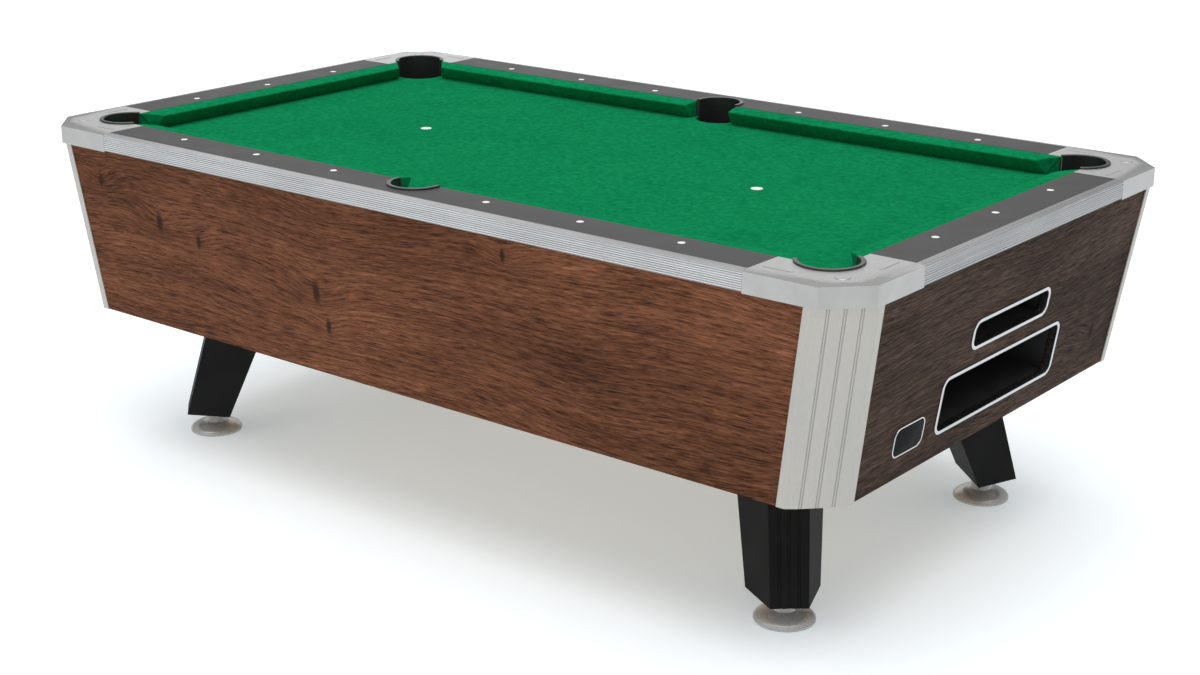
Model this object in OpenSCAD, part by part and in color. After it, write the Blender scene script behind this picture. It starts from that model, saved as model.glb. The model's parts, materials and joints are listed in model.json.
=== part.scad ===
// Commercial pool table, seven-foot class, standing on four screw levelers.
// The frame has its origin on the floor under the middle of the table, +X towards
// the foot end (the end with the ball openings), +Y towards the far side, +Z up.

/* [Table] */
// Overall length
table_length = 2362; // [2350:1:2380]
// Overall width
table_width = 1346; // [1340:1:1356]
// Height of the rail tops above the floor
table_height = 820; // [800:1:840]
// Flat cut across each corner, measured along each side
corner_cut = 80; // [70:1:84]

/* [Playfield] */
// Playing length, nose to nose
play_length = 2032; // [2026:1:2038]
// Playing width, nose to nose
play_width = 1016; // [1010:1:1022]
// Height of the rail tops above the slate
slate_drop = 42; // [40:1:46]
// Thickness of the slate
slate_thickness = 19; // [19:1:25]
// Thickness of the bed cloth
cloth_thickness = 1; // [0.8:0.1:1.2]

/* [Pockets] */
// Inner radius of a corner pocket
corner_pocket_r = 59; // [56:1:60]
// Corner pocket centre, measured in from each side
corner_pocket_inset = 150; // [148:1:152]
// Inner radius of a side pocket
side_pocket_r = 54; // [50:1:56]
// Side pocket centre, measured in from the side
side_pocket_inset = 109; // [107:1:111]
// Thickness of a pocket liner's wall
liner_wall = 4; // [3:0.5:4]
// Width of the raised lip round a pocket
lip_width = 10; // [8:1:11]
// Height of the lip above the rail
lip_height = 4; // [3:0.5:5]

/* [Rails] */
// Width of a rail, from the table's side to the cushion
rail_width = 119; // [117:1:120]
// Length that a corner casting covers along each side
casting_reach = 245; // [240:1:250]
// Width of the sloping band along the outer edge
band_width = 19; // [16:1:22]
// Height of the metal trim round the rails
trim_height = 42; // [40:1:42]
// Number of ribs on the trim's face
trim_ribs = 8; // [6:1:10]
// Diameter of a sight
sight_d = 16; // [10:1:18]
// Distance from the side pocket's centre to the first sight
first_sight = 228; // [215:1:254]
// Distance from one sight to the next
sight_pitch = 254; // [245:1:258]

/* [Cabinet] */
// Height of the cabinet's bottom edge above the floor
cabinet_bottom = 357; // [350:1:370]
// How far each end leans in, from top to bottom
end_lean = 64; // [50:1:70]
// How far each side leans in, from top to bottom
side_lean = 26; // [15:1:32]
// Thickness of a panel
panel_thickness = 19; // [16:1:19]
// Reach of a corner extrusion along each panel
corner_reach = 105; // [100:1:110]
// Length of the upper opening in the foot end
upper_opening_w = 333; // [300:1:345]
// Height of the upper opening
upper_opening_h = 68; // [64:1:70]
// Length of the lower opening in the foot end
lower_opening_w = 509; // [490:1:515]
// Height of the lower opening
lower_opening_h = 130; // [126:1:132]

/* [Legs] */
// Foot centre from the middle, along X
foot_x = 890; // [880:1:896]
// Foot centre from the middle, along Y
foot_y = 421; // [415:1:425]
// Height of a leg's bottom edge above the floor
leg_bottom = 56; // [56:1:60]
// Thickness of a leg's wall
leg_wall = 5; // [4:0.5:6]
// Diameter of a leveler's pad
pad_d = 132; // [120:1:140]
// Travel of a leveler
leveler_travel = 40; // [20:1:40]

/* [Hidden] */
$fn = 64;

NEAR = -1;
FAR = 1;
HEAD = -1;
FOOT = 1;

half_l = table_length / 2;
half_w = table_width / 2;
slate_top = table_height - slate_drop;
slate_bottom = slate_top - slate_thickness;
cloth_top = slate_top + cloth_thickness;
nose_inset = half_w - play_width / 2;
end_nose_inset = half_l - play_length / 2;
fit_gap = 0.3;

// The cabinet's outer faces at the top, under the metal trim
panel_top = slate_top - 0.5;
cabinet_inset = 5;
cab_l = half_l - cabinet_inset;
cab_w = half_w - cabinet_inset;
cabinet_height = slate_top - cabinet_bottom;
end_tilt = atan(end_lean / cabinet_height);

// How far a panel's outer face is in from its top edge, at height z
function end_in(z) = (slate_top - z) * end_lean / cabinet_height;
function side_in(z) = (slate_top - z) * side_lean / cabinet_height;
function swap(points) = [for (i = [len(points) - 1:-1:0]) [points[i].y, points[i].x]];

// ---------- placing ----------

// Draws its children in the +X +Y quarter, mirrored into another quarter
module quarter(end, side) {
    mirror_if(end < 0, [1, 0, 0]) mirror_if(side < 0, [0, 1, 0]) children();
}

module mirror_if(wanted, normal) {
    if (wanted) mirror(normal) children();
    else children();
}

// Local x and y run inwards from the rail's outer corner
module at_corner() {
    translate([half_l, half_w, 0]) rotate(180) children();
}

// Local x runs along the side, local y inwards from it
module at_side() {
    translate([0, half_w, 0]) rotate(180) children();
}

// Local x runs along the end, local y inwards from it
module at_end() {
    translate([half_l, 0, 0]) rotate(90) children();
}

// A profile of (y, z) points drawn along X
module along_x(length) {
    rotate([90, 0, 90]) linear_extrude(length, center = true) children();
}

// A profile of (x, z) points drawn along Y
module along_y(length) {
    rotate([90, 0, 0]) linear_extrude(length, center = true) children();
}

module slab(z0, z1) {
    translate([0, 0, z0]) linear_extrude(z1 - z0) children();
}

// Local x runs along the foot end, y up the panel's slope, z outwards from its face
module on_foot_panel(z) {
    translate([cab_l - end_in(z), 0, z]) rotate([0, end_tilt, 0]) rotate([90, 0, 90]) children();
}

module rounded_rect(w, h, r) {
    square([w - 2 * r, h], center = true);
    square([w, h - 2 * r], center = true);
    for (x = [-1, 1], y = [-1, 1]) translate([x * (w / 2 - r), y * (h / 2 - r)]) circle(r);
}

// ---------- slate, cloth and beams ----------

slate_half_l = 1106;
slate_half_w = 598;
slate_clear = 1.5;
bolt_r = 5;
rail_bolt_inset = 92;
end_bolt_pitch = 245;
side_bolt_x = [for (i = [0:2]) first_sight + i * sight_pitch];

// Centres of the rail bolts in plan
rail_bolt_points = concat(
    [for (x = side_bolt_x, sx = [-1, 1], sy = [-1, 1]) [sx * x, sy * (half_w - rail_bolt_inset)]],
    [for (i = [-1:1], sx = [-1, 1]) [sx * (half_l - rail_bolt_inset), i * end_bolt_pitch]]
);

module slate_outline() {
    corner_hole = corner_pocket_r + liner_wall + slate_clear;
    side_hole = side_pocket_r + liner_wall + slate_clear;
    difference() {
        square([2 * slate_half_l, 2 * slate_half_w], center = true);
        for (sx = [-1, 1], sy = [-1, 1]) quarter(sx, sy) at_corner() {
            translate([corner_pocket_inset, corner_pocket_inset]) circle(corner_hole);
            square([corner_pocket_inset, corner_pocket_inset]);
        }
        for (sy = [-1, 1]) quarter(1, sy) at_side() {
            translate([0, side_pocket_inset]) circle(side_hole);
        }
        for (p = rail_bolt_points) translate(p) circle(bolt_r + 0.5);
    }
}

module slate() {
    color("dimgray") slab(slate_bottom, slate_top) slate_outline();
}

module bed_cloth() {
    color("seagreen") slab(slate_top, cloth_top) slate_outline();
}

beam_x = [-870, -600, -300, 300, 600, 870];
beam_w = 44;
beam_h = 40;

module slate_beams() {
    z0 = slate_bottom - beam_h;
    reach = cab_w - panel_thickness - side_in(z0) - fit_gap;
    color("burlywood") for (x = beam_x) {
        translate([x - beam_w / 2, -reach, z0]) cube([beam_w, 2 * reach, beam_h]);
    }
}

// ---------- rails, trims and sights ----------

rail_bottom = cloth_top + 0.2;
trim_skin = 4.5;
flange_t = 3;
sight_inset = 83;
sight_depth = 3;
sight_proud = 0.3;
end_sight_pitch = 245;
rail_bolt_top = table_height - 15;

// A rail's section: the outer edge steps down under the trim's flange
module rail_section() {
    y0 = trim_skin + fit_gap;
    y1 = band_width + fit_gap;
    step = table_height - flange_t - 3;
    polygon([
        [y0, rail_bottom], [rail_width, rail_bottom], [rail_width, table_height],
        [y1, table_height], [y1, step], [y0, step]
    ]);
}

module sight_holes(points) {
    for (p = points) translate([p.x, p.y, table_height - sight_depth]) cylinder(sight_depth + 1, r = sight_d / 2);
}

module bolt_holes(points) {
    for (p = points) translate([p.x, p.y, rail_bottom - 1]) {
        cylinder(rail_bolt_top + 1 - rail_bottom, r = bolt_r);
    }
}

side_sights = [for (x = side_bolt_x, s = [-1, 1]) [s * x, sight_inset]];
end_sights = [for (i = [-1:1]) [i * end_sight_pitch, sight_inset]];

module side_rail(side) {
    length = 2 * (half_l - casting_reach - fit_gap);
    bolts = [for (x = side_bolt_x, s = [-1, 1]) [s * x, rail_bolt_inset]];
    color("dimgray") quarter(1, side) at_side() difference() {
        along_x(length) rail_section();
        translate([0, side_pocket_inset, rail_bottom - 1]) {
            cylinder(slate_drop + 2, r = side_pocket_r + liner_wall + fit_gap);
        }
        sight_holes(side_sights);
        bolt_holes(bolts);
    }
}

module end_rail(end) {
    length = 2 * (half_w - casting_reach - fit_gap);
    bolts = [for (i = [-1:1]) [i * end_bolt_pitch, rail_bolt_inset]];
    color("dimgray") quarter(end, 1) at_end() difference() {
        along_x(length) rail_section();
        sight_holes(end_sights);
        bolt_holes(bolts);
    }
}

module sights() {
    height = sight_depth + sight_proud;
    color("white") translate([0, 0, table_height - sight_depth]) {
        for (side = [NEAR, FAR], p = side_sights) quarter(1, side) at_side() {
            translate(p) cylinder(height, r = sight_d / 2);
        }
        for (end = [HEAD, FOOT], p = end_sights) quarter(end, 1) at_end() {
            translate(p) cylinder(height, r = sight_d / 2);
        }
    }
}

// The trim's section: a ribbed face, a sloping band and a flange over the rail
module trim_section() {
    z0 = table_height - trim_height;
    drop = 2.5;
    rib = (trim_height - drop - 3) / trim_ribs;
    ribs = [for (i = [0:trim_ribs - 1]) each [
        [0.9, z0 + 1 + i * rib], [0, z0 + 1 + (i + 0.25) * rib],
        [0, z0 + 1 + (i + 0.75) * rib], [0.9, z0 + 1 + (i + 1) * rib]
    ]];
    edge = [
        [0, table_height - drop], [band_width, table_height],
        [band_width, table_height - flange_t], [trim_skin, table_height - drop - flange_t],
        [trim_skin, z0], [0, z0]
    ];
    polygon(concat(ribs, edge));
}

module side_trim(side) {
    color("silver") quarter(1, side) at_side() {
        along_x(2 * (half_l - casting_reach - fit_gap)) trim_section();
    }
}

module end_trim(end) {
    color("silver") quarter(end, 1) at_end() {
        along_x(2 * (half_w - casting_reach - fit_gap)) trim_section();
    }
}

// ---------- cushions ----------

corner_nose = 250;
corner_back = 209;
side_nose = 68;
side_back = 62;

// A cushion's section: local y inwards, nose at the playfield's edge
module cushion_section(nose) {
    nose_z = slate_top + 37;
    polygon([
        [rail_width + fit_gap, cloth_top + 0.3], [nose - 18, cloth_top + 0.3],
        [nose - 0.5, nose_z - 2.5], [nose, nose_z - 1], [nose - 1.5, nose_z + 0.8],
        [nose - 6, nose_z + 1.8], [rail_width + fit_gap, table_height - 0.3]
    ]);
}

module cushion(nose, back_0, nose_0, back_1, nose_1) {
    color("seagreen") intersection() {
        along_x(table_length) cushion_section(nose);
        slab(slate_top, table_height + 1) polygon([
            [back_0, rail_width], [back_1, rail_width], [nose_1, nose], [nose_0, nose]
        ]);
    }
}

module side_cushion(end, side) {
    quarter(-end, side) at_side() cushion(
        nose_inset, side_back, side_nose, half_l - corner_back, half_l - corner_nose
    );
}

module end_cushion(end) {
    quarter(end, 1) at_end() cushion(
        end_nose_inset, corner_back - half_w, corner_nose - half_w, half_w - corner_back, half_w - corner_nose
    );
}

// ---------- corner castings and pocket liners ----------

casting_wall = 4.5;
casting_top = 7;
casting_skirt = 3;

module corner_outline(inset, reach, inner) {
    cut = corner_cut + inset * (sqrt(2) - 1);
    polygon([
        [cut, inset], [reach, inset], [reach, inner], [inner, inner],
        [inner, reach], [inset, reach], [inset, cut]
    ]);
}

// A long block along local x whose top slopes up inwards over a band
module sloped_block(band, drop) {
    z0 = table_height - trim_height - 10;
    far = 2 * casting_reach;
    along_x(2 * far) polygon([
        [0, z0], [far, z0], [far, table_height], [band, table_height], [0, table_height - drop]
    ]);
}

// Plain raised ornament: one bar along each arm and a round boss at the corner
module casting_ornament() {
    boss = 73;
    arm = [155, 238];
    mid = 48;
    translate([boss, boss, table_height]) cylinder(1, r1 = 15, r2 = 13.5);
    for (turn = [0, 1]) mirror_if(turn == 1, [1, -1, 0]) {
        translate([(arm[0] + arm[1]) / 2, mid, table_height]) {
            linear_extrude(0.8) rounded_rect(arm[1] - arm[0] - 18, 7, 3.4);
        }
    }
}

module casting(end, side) {
    skirt_z = table_height - trim_height - casting_skirt;
    ring = corner_pocket_r + liner_wall + 12;
    centre = [corner_pocket_inset, corner_pocket_inset];
    color("lightgray") quarter(end, side) at_corner() {
        difference() {
            intersection() {
                union() {
                    slab(rail_bottom, table_height) corner_outline(0, casting_reach, rail_width);
                    slab(skirt_z, rail_bottom) difference() {
                        corner_outline(0, casting_reach, rail_width);
                        corner_outline(casting_wall, casting_reach + 1, rail_width + 1);
                    }
                }
                sloped_block(band_width, 2.5);
                mirror([1, -1, 0]) sloped_block(band_width, 2.5);
                translate([corner_cut / 2, corner_cut / 2, 0]) rotate(-45) sloped_block(9, 2.5);
            }
            slab(rail_bottom - 1, table_height - casting_top) difference() {
                corner_outline(casting_wall, casting_reach - casting_wall, rail_width - casting_wall);
                translate(centre) circle(ring);
            }
            translate([centre.x, centre.y, skirt_z - 1]) {
                cylinder(slate_drop + 10, r = corner_pocket_r + liner_wall + fit_gap);
            }
        }
        casting_ornament();
    }
}

liner_bottom = slate_bottom - 23;

// A liner's section: a plain wall under a lip with a rounded edge
module liner_section(r) {
    lip_r = lip_height / 2;
    translate([r, liner_bottom]) square([liner_wall, table_height + 1 - liner_bottom]);
    translate([r + lip_r, table_height]) square([lip_width - lip_height, lip_height]);
    for (x = [lip_r, lip_width - lip_r]) translate([r + x, table_height + lip_r]) circle(lip_r);
}

module corner_liner(end, side) {
    open = asin((corner_pocket_inset - rail_width) / (corner_pocket_r + lip_width));
    centre = [corner_pocket_inset, corner_pocket_inset, 0];
    color("#222222") quarter(end, side) at_corner() translate(centre) {
        rotate(90 + open) rotate_extrude(angle = 270 - 2 * open) liner_section(corner_pocket_r);
    }
}

module side_liner(side) {
    past = asin((rail_width - side_pocket_inset) / (side_pocket_r + lip_width));
    color("#222222") quarter(1, side) at_side() translate([0, side_pocket_inset, 0]) {
        rotate(180 - past) rotate_extrude(angle = 180 + 2 * past) liner_section(side_pocket_r);
    }
}

// ---------- cabinet ----------

// Distance from a cabinet corner to the panel's end, inside the post's slot
panel_end = 89;

module side_panel_solid() {
    z0 = cabinet_bottom;
    z1 = panel_top;
    y0 = cab_w - side_in(z0);
    y1 = cab_w - side_in(z1);
    x0 = cab_l - end_in(z0) - panel_end;
    x1 = cab_l - end_in(z1) - panel_end;
    intersection() {
        along_x(table_length) polygon([
            [y0 - panel_thickness, z0], [y0, z0], [y1, z1], [y1 - panel_thickness, z1]
        ]);
        along_y(2 * table_width) polygon([[-x0, z0], [x0, z0], [x1, z1], [-x1, z1]]);
    }
}

module end_panel_solid() {
    z0 = cabinet_bottom;
    z1 = panel_top;
    x0 = cab_l - end_in(z0);
    x1 = cab_l - end_in(z1);
    y0 = cab_w - side_in(z0) - panel_end;
    y1 = cab_w - side_in(z1) - panel_end;
    intersection() {
        along_y(table_width) polygon([
            [x0 - panel_thickness, z0], [x0, z0], [x1, z1], [x1 - panel_thickness, z1]
        ]);
        along_x(2 * table_length) polygon([[-y0, z0], [y0, z0], [y1, z1], [-y1, z1]]);
    }
}

module side_panel(side) {
    color("sienna") quarter(1, side) side_panel_solid();
}

module head_panel() {
    color("sienna") quarter(HEAD, 1) end_panel_solid();
}

upper_z = 605;
lower_z = 473;
opening_r = 25;
bezel_band = 8;
hole_margin = 5;
face_gap = 0.05;

module foot_panel() {
    m = 2 * hole_margin;
    r = opening_r - hole_margin;
    color("sienna") difference() {
        end_panel_solid();
        on_foot_panel(upper_z) slab(-40, 20) rounded_rect(upper_opening_w - m, upper_opening_h - m, r);
        on_foot_panel(lower_z) slab(-40, 20) rounded_rect(lower_opening_w - m, lower_opening_h - m, r);
    }
}

// A flat metal ring on the panel with a short sleeve into its hole
module bezel(z, w, h) {
    b = 2 * bezel_band;
    m = 2 * hole_margin + 2 * fit_gap;
    color("silver") on_foot_panel(z) difference() {
        union() {
            slab(face_gap, 2.5) rounded_rect(w, h, opening_r);
            slab(-14, 1) rounded_rect(w - m, h - m, opening_r - m / 2);
        }
        slab(-20, 4) rounded_rect(w - b, h - b, opening_r - bezel_band);
    }
}

badge_y = -360;
badge_z = 442;

module badge() {
    color("#222222") on_foot_panel(badge_z) translate([badge_y, 0, 0]) {
        slab(face_gap, 1.5) rounded_rect(116, 66, 20);
        slab(1, 2.2) difference() {
            rounded_rect(116, 66, 20);
            rounded_rect(108, 58, 16);
        }
    }
}

module cabinet_floor() {
    z0 = cabinet_bottom + 5;
    x = cab_l - end_in(z0) - panel_thickness - fit_gap;
    y = cab_w - side_in(z0) - panel_thickness - fit_gap;
    cut = 110;
    color("burlywood") difference() {
        slab(z0, z0 + 18) polygon([
            [x, y - cut], [x - cut, y], [cut - x, y], [-x, y - cut],
            [-x, cut - y], [cut - x, -y], [x - cut, -y], [x, cut - y]
        ]);
        leg_bolt_places() translate([0, 0, z0 - 1]) cylinder(20, r = bolt_r + 0.3);
    }
}

// A corner post's section, in from the cabinet's corner: an outer skin with grooves
// over the cut corner, and a slot for the edge of each panel
function post_section() = let (
    skin = 3, wall = 4, slot = panel_end - 1, gap = panel_thickness + 0.4,
    from = [-skin, corner_cut + 2], to = [corner_cut + 2, -skin],
    inner = from.x + from.y + wall * sqrt(2),
    lip = gap + 3,
    groove_at = [0.21, 0.25, 0.48, 0.52, 0.75, 0.79],
    along = (to - from) / norm(to - from),
    depth = [1, 1] / sqrt(2),
    face = [for (f = groove_at) let (p = from + (to - from) * f) each [
        p - 1.3 * along, p + 1.3 * depth, p + 1.3 * along
    ]],
    ease = [[-skin, corner_cut + 10], [-skin + 0.8, corner_cut + 5]],
    half = [
        [corner_reach, -skin], [corner_reach, -0.1], [slot, -0.1],
        [slot, gap], [corner_reach, gap], [corner_reach, lip], [slot - 4, lip],
        [slot - 4, inner - slot + 4]
    ]
) concat(ease, face, swap(ease), half, swap(half));

// The post leans with both panels. It is an extrusion along the lean, whose square
// section gives post_section() where it is cut level.
post_lean_x = asin(side_lean / norm([end_lean, side_lean, cabinet_height]));
post_lean_y = -end_tilt;

function squared(p) = [
    p.x * cos(post_lean_y), p.x * sin(post_lean_x) * sin(post_lean_y) + p.y * cos(post_lean_x)
];

module corner_post(end, side) {
    z0 = cabinet_bottom;
    z1 = table_height - trim_height - casting_skirt - fit_gap;
    color("gainsboro") quarter(end, side) translate([cab_l, cab_w, 0]) rotate(180) intersection() {
        translate([end_in(z0), side_in(z0), z0]) rotate([post_lean_x, post_lean_y, 0]) {
            slab(-100, 600) polygon([for (p = post_section()) squared(p)]);
        }
        slab(z0, z1) translate([-200, -200]) square(500);
    }
}

// ---------- ball tray, shelf and runways ----------

tray_wall = 3;
panel_back = -panel_thickness - 0.2;

// A shallow closed shelf behind the upper opening
module shelf_box() {
    w = upper_opening_w - 2 * hole_margin;
    h = upper_opening_h - 2 * hole_margin;
    depth = 100;
    color("#222222") on_foot_panel(upper_z) translate([0, 0, panel_back]) difference() {
        slab(-depth, 0) square([w + 2 * tray_wall, h + 2 * tray_wall], center = true);
        slab(tray_wall - depth, 1) square([w, h], center = true);
    }
}

// The tray behind the lower opening: a floor, then a back wall that slopes up
// under the cross runway, and a hole in the roof where the balls drop in
module ball_tray() {
    w = lower_opening_w - 2 * hole_margin;
    h = lower_opening_h / 2 - hole_margin;
    t = tray_wall;
    depth = 250;
    ramp = 140;
    color("#222222") on_foot_panel(lower_z) translate([0, 0, panel_back]) difference() {
        along_x(w + 2 * t) polygon([
            [-h - t, 0], [-h - t, -ramp - 1], [-t, -depth], [h + t, -depth], [h + t, 0]
        ]);
        along_x(w) polygon([[-h, 1], [-h, -ramp], [0, t - depth], [h, t - depth], [h, 1]]);
        translate([-70, h - 1, 8 - depth]) cube([140, t + 2, 70]);
    }
}

runway_side = 40;
runway_low_x = 915;
runway_half = 46;
runway_low = 618;
runway_head = 660;
runway_foot = 628;
runway_fall = 18;
runway_end = 1092;
trough_in = 456;
trough_out = 630;

// Heights of a side runway's floor, drawn in by e at its ends
function runway_line(e) = [
    [e - runway_end, runway_head], [runway_low_x - runway_half, runway_low],
    [runway_low_x + runway_half, runway_low], [runway_end - e, runway_foot]
];

// Heights of the cross runway's floor: both halves fall towards the middle
cross_line = let (end = trough_in - fit_gap, z = runway_low - 1) [
    [-end, z], [-70, z - runway_fall], [70, z - runway_fall], [end, z]
];

function raised(line, dz) = [for (p = line) p + [0, dz]];
function backwards(line) = [for (i = [len(line) - 1:-1:0]) line[i]];
function strip(line, z0, z1) = concat(raised(line, z0), backwards(raised(line, z1)));

// A sloping trough under the three pockets of one side, open inwards at its low point
module runway(side) {
    t = tray_wall;
    color("#333333") quarter(1, side) translate([0, (trough_in + trough_out) / 2, 0]) difference() {
        along_y(trough_out - trough_in) polygon(strip(runway_line(0), 0, runway_side));
        along_y(trough_out - trough_in - 2 * t) polygon(strip(runway_line(t), t, runway_side + 1));
        translate([runway_low_x - runway_half, -(trough_out - trough_in) / 2 - 1, runway_low + t]) {
            cube([2 * runway_half, t + 2, runway_side]);
        }
    }
}

// A trough across the foot end that brings both sides' balls to the tray
module cross_runway() {
    t = tray_wall;
    color("#333333") translate([runway_low_x, 0, 0]) difference() {
        rotate(90) along_y(2 * runway_half) polygon(strip(cross_line, 0, runway_side));
        rotate(90) along_y(2 * runway_half - 2 * t) polygon(strip(cross_line, t, runway_side + 1));
        translate([-35, -60, runway_low - runway_fall - 2]) cube([70, 120, 10]);
    }
}

// ---------- legs ----------

// Each leg is a folded box, open underneath. It is drawn with x pointing outwards from
// the foot's centre, which is the table's diagonal turned a little towards the side.
leg_top = cabinet_bottom + 4.8;
leg_turn = 3.8;
leg_front_x = 70.8;
leg_front_half = 40.3;
leg_back_x = -36.9;
front_rake = 15.7;
back_rake = 23.2;
wing_sweep = 20;
wing_tilt = 4.8;
leg_groove_at = [0.22, 0.28, 0.47, 0.53, 0.72, 0.78];
leg_plate = 6;
leg_bolt_points = [[-42, -24], [-42, 24], [-130, -58], [-130, 58]];

function leg_front(z) = leg_front_x - tan(front_rake) * (z - leg_bottom);
function leg_back(z) = leg_back_x - tan(back_rake) * (z - leg_bottom);
function leg_back_inside(z) = leg_back(z) + leg_wall / cos(back_rake);

module at_leg(end, side) {
    quarter(end, side) translate([foot_x, foot_y, 0]) rotate(45 + leg_turn) children();
}

module leg_bolt_places() {
    for (end = [HEAD, FOOT], side = [NEAR, FAR], p = leg_bolt_points) {
        at_leg(end, side) translate([p.x, p.y, 0]) children();
    }
}

// The leg's solid outline, drawn in by t from its front and its wings
module leg_wedge(t, z0, z1, back_0, back_1) {
    big = 1200;
    intersection() {
        along_y(big) polygon([
            [back_0, z0], [leg_front(z0) - t, z0], [leg_front(z1) - t, z1], [back_1, z1]
        ]);
        inside_wing(t, big);
        mirror([0, 1, 0]) inside_wing(t, big);
    }
}

// All the space on the inner side of a wing's face
module inside_wing(t, big) {
    translate([leg_front_x, leg_front_half, leg_bottom]) rotate([wing_tilt, 0, -wing_sweep]) {
        translate([-big / 2, -big - t, -big / 2]) cube(big);
    }
}

module leg(end, side) {
    z0 = leg_bottom;
    z1 = leg_top;
    back = leg_back(z1) + 4;
    color("#1c1c1c") at_leg(end, side) {
        difference() {
            leg_wedge(0, z0, z1, leg_back(z0), leg_back(z1));
            leg_wedge(leg_wall, z0 - 1, z1 + 1, leg_back_inside(z0 - 1), leg_back_inside(z1 + 1));
            for (f = leg_groove_at) translate([leg_front(z0) + 0.5, (2 * f - 1) * leg_front_half, z0]) {
                rotate([0, -front_rake, 0]) rotate(45) translate([-1.4, -1.4, -20]) cube([2.8, 2.8, 400]);
            }
        }
        difference() {
            leg_wedge(3, z1 - leg_plate, z1, back, back);
            for (p = leg_bolt_points) translate([p.x, p.y, z1 - 10]) cylinder(20, r = bolt_r + 0.3);
        }
    }
}

stem_r = 9.5;
plate_z = leg_bottom + 10;
plate_t = 10;
boss_h = 24;

// Steel plate and threaded boss that close each leg's foot
module foot_plates() {
    back = leg_back_inside(plate_z) + fit_gap;
    color("dimgray") for (end = [HEAD, FOOT], side = [NEAR, FAR]) at_leg(end, side) difference() {
        union() {
            leg_wedge(leg_wall + fit_gap, plate_z, plate_z + plate_t, back, back);
            translate([0, 0, plate_z]) cylinder(plate_t + boss_h, r = 17);
        }
        translate([0, 0, plate_z - 1]) cylinder(plate_t + boss_h + 2, r = stem_r + 0.08);
    }
}

// ---------- bolts ----------

module hex_bolt(length) {
    cylinder(length, r = bolt_r - 0.1);
    translate([0, 0, -7]) cylinder(7, r = 9.2, $fn = 6);
}

module leg_bolts() {
    z = leg_top - leg_plate - 0.1;
    color("gray") leg_bolt_places() translate([0, 0, z]) hex_bolt(leg_plate + 17);
}

module rail_bolts() {
    z = slate_bottom - 0.1;
    color("gray") for (p = rail_bolt_points) translate([p.x, p.y, z]) hex_bolt(rail_bolt_top - z - 1);
}

// ---------- levelers ----------

socket_floor = 30;
stem_gap = 0.08;
neck_r = 24;
neck_top = plate_z - 2;
rim_z = 8;
dome_z = 24;
stem_top = 152;

// A round pad with a shallow dome and a neck that holds the stem's end
module pad(end, side) {
    r = pad_d / 2;
    steps = 8;
    dome = [for (i = [0:steps]) let (a = 90 * i / steps) [
        neck_r + 1 + (r - 3 - neck_r) * cos(a), rim_z + (dome_z - rim_z) * sin(a) * (0.55 + 0.45 * sin(a))
    ]];
    outline = concat(
        [[0, 0], [r - 1.5, 0], [r, 1.5], [r, rim_z - 2]], dome,
        [[neck_r, dome_z + 1.5], [neck_r, neck_top - 1], [neck_r - 1, neck_top]],
        [[stem_r + stem_gap, neck_top], [stem_r + stem_gap, socket_floor], [0, socket_floor]]
    );
    color("gray") at_leg(end, side) rotate_extrude() polygon(outline);
}

// A screw that turns in the leg's foot plate and in the pad's socket
module stem(end, side) {
    color("silver") at_leg(end, side) {
        translate([0, 0, socket_floor + stem_gap]) cylinder(stem_top - socket_floor - stem_gap, r = stem_r);
    }
}

slate();
bed_cloth();
slate_beams();
side_rail(NEAR);  // side_rail_near
side_rail(FAR);  // side_rail_far
end_rail(HEAD);  // end_rail_head
end_rail(FOOT);  // end_rail_foot
side_cushion(HEAD, NEAR);  // cushion_near_head
side_cushion(FOOT, NEAR);  // cushion_near_foot
side_cushion(HEAD, FAR);  // cushion_far_head
side_cushion(FOOT, FAR);  // cushion_far_foot
end_cushion(HEAD);  // cushion_head
end_cushion(FOOT);  // cushion_foot
casting(HEAD, NEAR);  // casting_near_head
casting(FOOT, NEAR);  // casting_near_foot
casting(HEAD, FAR);  // casting_far_head
casting(FOOT, FAR);  // casting_far_foot
side_trim(NEAR);  // side_trim_near
side_trim(FAR);  // side_trim_far
end_trim(HEAD);  // end_trim_head
end_trim(FOOT);  // end_trim_foot
sights();
corner_liner(HEAD, NEAR);  // liner_near_head
corner_liner(FOOT, NEAR);  // liner_near_foot
corner_liner(HEAD, FAR);  // liner_far_head
corner_liner(FOOT, FAR);  // liner_far_foot
side_liner(NEAR);  // liner_near_side
side_liner(FAR);  // liner_far_side
side_panel(NEAR);  // side_panel_near
side_panel(FAR);  // side_panel_far
head_panel();
foot_panel();
cabinet_floor();
corner_post(HEAD, NEAR);  // corner_post_near_head
corner_post(FOOT, NEAR);  // corner_post_near_foot
corner_post(HEAD, FAR);  // corner_post_far_head
corner_post(FOOT, FAR);  // corner_post_far_foot
bezel(upper_z, upper_opening_w, upper_opening_h);  // upper_bezel
bezel(lower_z, lower_opening_w, lower_opening_h);  // lower_bezel
badge();
shelf_box();
ball_tray();
runway(NEAR);  // runway_near
runway(FAR);  // runway_far
cross_runway();
leg(HEAD, NEAR);  // leg_near_head
leg(FOOT, NEAR);  // leg_near_foot
leg(HEAD, FAR);  // leg_far_head
leg(FOOT, FAR);  // leg_far_foot
foot_plates();
leg_bolts();
rail_bolts();
pad(HEAD, NEAR);  // pad_near_head
pad(FOOT, NEAR);  // pad_near_foot
pad(HEAD, FAR);  // pad_far_head
pad(FOOT, FAR);  // pad_far_foot
stem(HEAD, NEAR);  // stem_near_head
stem(FOOT, NEAR);  // stem_near_foot
stem(HEAD, FAR);  // stem_far_head
stem(FOOT, FAR);  // stem_far_foot
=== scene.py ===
"""Looks of a commercial pool table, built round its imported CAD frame. All sizes are in metres."""
import json
import math

import bpy
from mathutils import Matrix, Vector
from mathutils.geometry import delaunay_2d_cdt


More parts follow.
